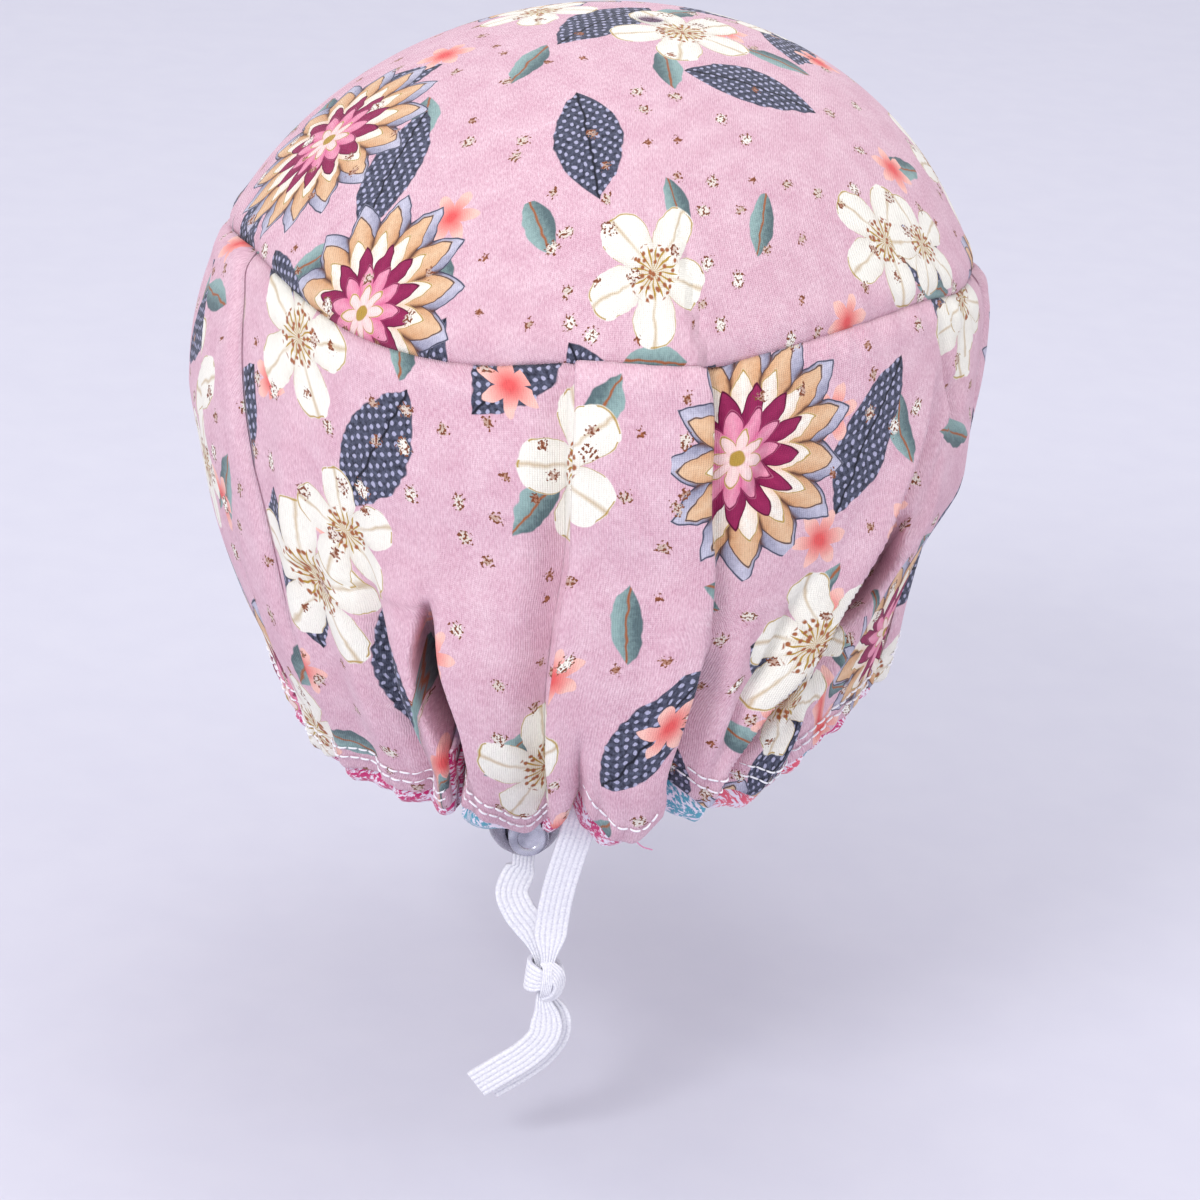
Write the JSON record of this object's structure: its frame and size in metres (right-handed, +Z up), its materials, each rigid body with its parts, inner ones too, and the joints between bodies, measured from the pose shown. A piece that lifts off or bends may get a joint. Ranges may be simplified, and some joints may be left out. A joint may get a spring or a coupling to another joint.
{
  "type": "scrub cap",
  "caption": "Soft knit surgical scrub cap with a domed crown, a box pleated and gathered back, an elastic drawcord hem and a sprung ball cord lock.",
  "frame": {"origin": "where the top of the head meets the inside of the crown", "axes": "+Z up, the wearer looks along +Y, the back of the cap with its pleat and cord lock faces -Y"},
  "size_m": [0.1968, 0.228, 0.2489],
  "materials": {
    "pink_knit": "matte printed cotton knit",
    "facing_knit": "matte mottled knit",
    "white_elastic": "ribbed woven elastic",
    "grey_plastic": "smoky translucent",
    "spring_steel": "bright"
  },
  "bodies": {
    "cap": {"crown": "pink_knit", "back_panel": "pink_knit", "front_panel": "pink_knit", "hem_casing": "facing_knit", "lock_barrel": "grey_plastic", "lock_spring": "spring_steel", "elastic_feed": "white_elastic", "elastic_in_lock": "white_elastic", "elastic_left": "white_elastic", "elastic_right": "white_elastic", "elastic_knot": "white_elastic", "elastic_tail_front": "white_elastic", "elastic_tail_back": "white_elastic"},
    "plunger": {"lock_plunger": "grey_plastic"}
  },
  "joints": [
    {"name": "plunger_press", "type": "slide", "parent": "cap", "child": "plunger", "axis": [0, 1, 0], "range_m": [0, 0.0035], "stiffness_N_per_m": 600, "springref_m": -0.003, "deforming": ["lock_spring"]}
  ]
}
